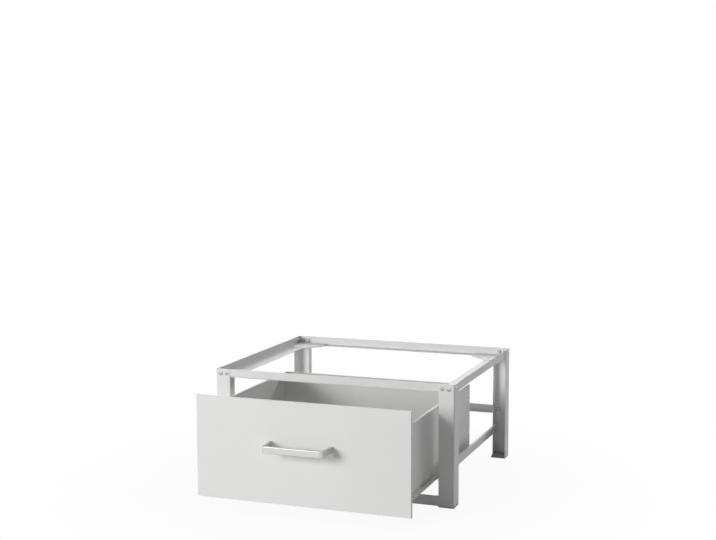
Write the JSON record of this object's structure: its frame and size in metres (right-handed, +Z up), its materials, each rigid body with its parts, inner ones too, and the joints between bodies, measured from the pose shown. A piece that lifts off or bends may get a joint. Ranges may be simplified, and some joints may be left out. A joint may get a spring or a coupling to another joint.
{
  "type": "washing machine pedestal with drawer",
  "caption": "Low steel stand for a washing machine: an open frame on channel legs with a rim on top, and a deep drawer with a bar handle that rolls out at the front.",
  "frame": {"origin": "on the floor, under the middle of the box that the part fills with the drawer pulled out as in the picture", "axes": "+Z up, +X to the right seen from the front, +Y from the drawer's front towards the rear"},
  "size_m": [0.6364, 0.7937, 0.303],
  "materials": {
    "white_coated_steel": "white powder coat, satin",
    "handle_steel": "brushed satin",
    "slide_steel": "white epoxy coat on rolled strip",
    "plated_steel": "zinc plated",
    "roller_plastic": "moulded, smooth",
    "foot_plastic": "moulded, matte"
  },
  "bodies": {
    "frame": {"front_leg_left": "white_coated_steel", "front_leg_right": "white_coated_steel", "rear_leg_left": "white_coated_steel", "rear_leg_right": "white_coated_steel", "foot_front_left": "foot_plastic", "foot_front_right": "foot_plastic", "foot_rear_left": "foot_plastic", "foot_rear_right": "foot_plastic", "front_top_rail": "white_coated_steel", "rear_top_rail": "white_coated_steel", "side_top_rail_left": "white_coated_steel", "side_top_rail_right": "white_coated_steel", "corner_plate_front_left": "white_coated_steel", "corner_plate_front_right": "white_coated_steel", "corner_plate_rear_left": "white_coated_steel", "corner_plate_rear_right": "white_coated_steel", "front_bottom_rail": "white_coated_steel", "rear_cross_rail": "white_coated_steel", "lower_side_rail_left": "white_coated_steel", "lower_side_rail_right": "white_coated_steel", "slide_channel_left": "slide_steel", "slide_channel_right": "slide_steel", "channel_axles": "plated_steel", "rim_bolts": "plated_steel", "rim_cap_bolts": "plated_steel", "side_bolts": "plated_steel", "member_bolts": "plated_steel", "frame_nuts": "plated_steel", "slide_screws": "plated_steel", "slide_nuts": "plated_steel", "plate_rivets": "plated_steel"},
    "front_roller_left": {"front_roller_left": "roller_plastic"},
    "front_roller_right": {"front_roller_right": "roller_plastic"},
    "drawer": {"drawer_front": "white_coated_steel", "drawer_inner_front": "white_coated_steel", "drawer_side_left": "white_coated_steel", "drawer_side_right": "white_coated_steel", "drawer_back": "white_coated_steel", "drawer_floor": "white_coated_steel", "runner_left": "slide_steel", "runner_right": "slide_steel", "runner_axles": "plated_steel", "handle": "handle_steel", "handle_screws": "plated_steel", "panel_screws": "plated_steel", "box_rivets": "plated_steel", "runner_rivets": "plated_steel"},
    "rear_roller_left": {"rear_roller_left": "roller_plastic"},
    "rear_roller_right": {"rear_roller_right": "roller_plastic"}
  },
  "joints": [
    {"name": "drawer_slide", "type": "slide", "parent": "frame", "child": "drawer", "axis": [0, -1, 0], "range_m": [-0.194, 0.181]},
    {"name": "front_roller_left_spin", "type": "hinge", "parent": "frame", "child": "front_roller_left", "pos_m": [-0.272, -0.11545, 0.068], "axis": [1, 0, 0], "range_deg": [-1730, 1620]},
    {"name": "rear_roller_left_spin", "type": "hinge", "parent": "drawer", "child": "rear_roller_left", "pos_m": [-0.2685, 0.16305, 0.068], "axis": [1, 0, 0], "range_deg": [-1730, 1620]},
    {"name": "front_roller_right_spin", "type": "hinge", "parent": "frame", "child": "front_roller_right", "pos_m": [0.272, -0.11545, 0.068], "axis": [1, 0, 0], "range_deg": [-1730, 1620]},
    {"name": "rear_roller_right_spin", "type": "hinge", "parent": "drawer", "child": "rear_roller_right", "pos_m": [0.2685, 0.16305, 0.068], "axis": [1, 0, 0], "range_deg": [-1730, 1620]}
  ],
  "couplings": [
    {"joint": "front_roller_left_spin", "follows": "drawer_slide", "rad_per_m": 153.85},
    {"joint": "rear_roller_left_spin", "follows": "drawer_slide", "rad_per_m": 153.85},
    {"joint": "front_roller_right_spin", "follows": "drawer_slide", "rad_per_m": 153.85},
    {"joint": "rear_roller_right_spin", "follows": "drawer_slide", "rad_per_m": 153.85}
  ]
}
